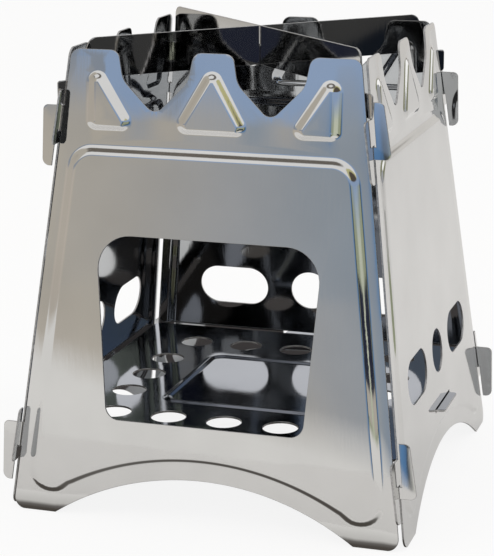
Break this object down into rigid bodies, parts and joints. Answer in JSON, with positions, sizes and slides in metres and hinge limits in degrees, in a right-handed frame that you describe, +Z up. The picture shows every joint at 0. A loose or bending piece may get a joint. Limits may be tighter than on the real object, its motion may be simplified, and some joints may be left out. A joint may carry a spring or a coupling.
{
  "type": "twig stove",
  "caption": "Flat-pack twig stove of hooked polished steel sheets: leaning pressed walls with a fuel window and vents, a perforated base plate and crossed pot supports.",
  "frame": {"origin": "on the ground under the stove's axis", "axes": "+Z up along the stove's axis, -Y out of the fuel window, +X to the right as seen from the front"},
  "size_m": [0.1672, 0.1672, 0.1834],
  "materials": {
    "stainless": "mirror polished"
  },
  "bodies": {
    "stove": {"front_wall": "stainless", "right_wall": "stainless", "back_wall": "stainless", "left_wall": "stainless", "base_plate": "stainless"},
    "support_lower": {"pot_support_lower": "stainless"},
    "support_upper": {"pot_support_upper": "stainless"}
  },
  "joints": [
    {"name": "support_lower_lift", "type": "slide", "parent": "stove", "child": "support_lower", "axis": [0, 0, 1], "range_m": [0, 0.045]},
    {"name": "support_upper_lift", "type": "slide", "parent": "support_lower", "child": "support_upper", "axis": [0, 0, 1], "range_m": [0, 0.045]}
  ]
}
